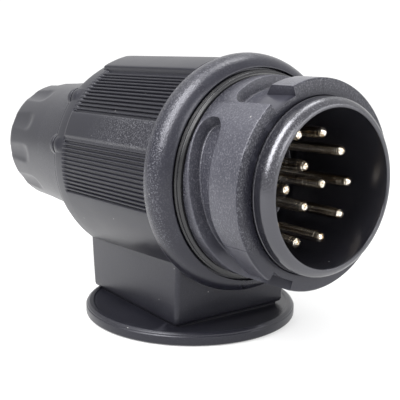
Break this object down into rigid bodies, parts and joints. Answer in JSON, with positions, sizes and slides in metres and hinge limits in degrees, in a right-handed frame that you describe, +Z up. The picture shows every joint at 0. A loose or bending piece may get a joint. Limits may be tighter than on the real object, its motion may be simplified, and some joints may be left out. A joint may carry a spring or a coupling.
{
  "type": "trailer wiring plug",
  "caption": "Trailer wiring plug with a bayonet sleeve, shrouded contact pins, ribbed grip housing, round foot and cable gland nut.",
  "frame": {"origin": "centre of the flat underside of the round foot", "axes": "+Z up, +X the mating direction that the contact pins point in"},
  "size_m": [0.1393, 0.0608, 0.072],
  "materials": {
    "housing_plastic": "fine spark-eroded grain, semi-matt",
    "insert_plastic": "smooth moulded, satin",
    "seal_rubber": "smooth, wet-looking",
    "grommet_rubber": "matt",
    "nylon": "natural nylon, satin",
    "contact_plating": "bright nickel-plated brass",
    "screw_steel": "zinc-plated"
  },
  "bodies": {
    "housing": {"grip_housing": "housing_plastic", "rear_cover": "housing_plastic", "coupling_shell": "housing_plastic", "coupling_seal": "seal_rubber", "insert_retainer": "insert_plastic", "gland_claws": "nylon", "gland_grommet": "grommet_rubber", "cover_screw_1": "screw_steel", "cover_screw_2": "screw_steel", "cover_screw_3": "screw_steel", "shell_screw_1": "screw_steel", "shell_screw_2": "screw_steel", "shell_screw_3": "screw_steel"},
    "contact_insert": {"insert_shroud": "insert_plastic", "insert_o_ring": "seal_rubber", "contact_carrier": "insert_plastic", "terminal_block": "nylon", "contact_pin_01": "contact_plating", "contact_pin_02": "contact_plating", "contact_pin_03": "contact_plating", "contact_pin_04": "contact_plating", "contact_pin_05": "contact_plating", "contact_pin_06": "contact_plating", "contact_pin_07": "contact_plating", "contact_pin_08": "contact_plating", "contact_pin_09": "contact_plating", "contact_pin_10": "contact_plating", "contact_pin_11": "contact_plating", "contact_pin_12": "contact_plating", "contact_pin_13": "contact_plating", "terminal_screw_01": "screw_steel", "terminal_screw_02": "screw_steel", "terminal_screw_03": "screw_steel", "terminal_screw_04": "screw_steel", "terminal_screw_05": "screw_steel", "terminal_screw_06": "screw_steel", "terminal_screw_07": "screw_steel", "terminal_screw_08": "screw_steel", "terminal_screw_09": "screw_steel", "terminal_screw_10": "screw_steel", "terminal_screw_11": "screw_steel", "terminal_screw_12": "screw_steel", "terminal_screw_13": "screw_steel", "insert_screw_1": "screw_steel", "insert_screw_2": "screw_steel"},
    "gland_slide": {"thrust_washer": "nylon"},
    "gland_nut": {"gland_nut": "housing_plastic"}
  },
  "joints": [
    {"name": "insert_turn", "type": "hinge", "parent": "housing", "child": "contact_insert", "pos_m": [0, 0, 0.04205], "axis": [1, 0, 0], "range_deg": [-90, 0]},
    {"name": "gland_travel", "type": "slide", "parent": "housing", "child": "gland_slide", "axis": [-1, 0, 0], "range_m": [0, 0.006]},
    {"name": "gland_nut_turn", "type": "hinge", "parent": "gland_slide", "child": "gland_nut", "pos_m": [-0.05, 0, 0.04205], "axis": [1, 0, 0], "range_deg": [-1080, 0]}
  ],
  "couplings": [
    {"joint": "gland_travel", "follows": "gland_nut_turn", "m_per_rad": -0.00031831}
  ]
}
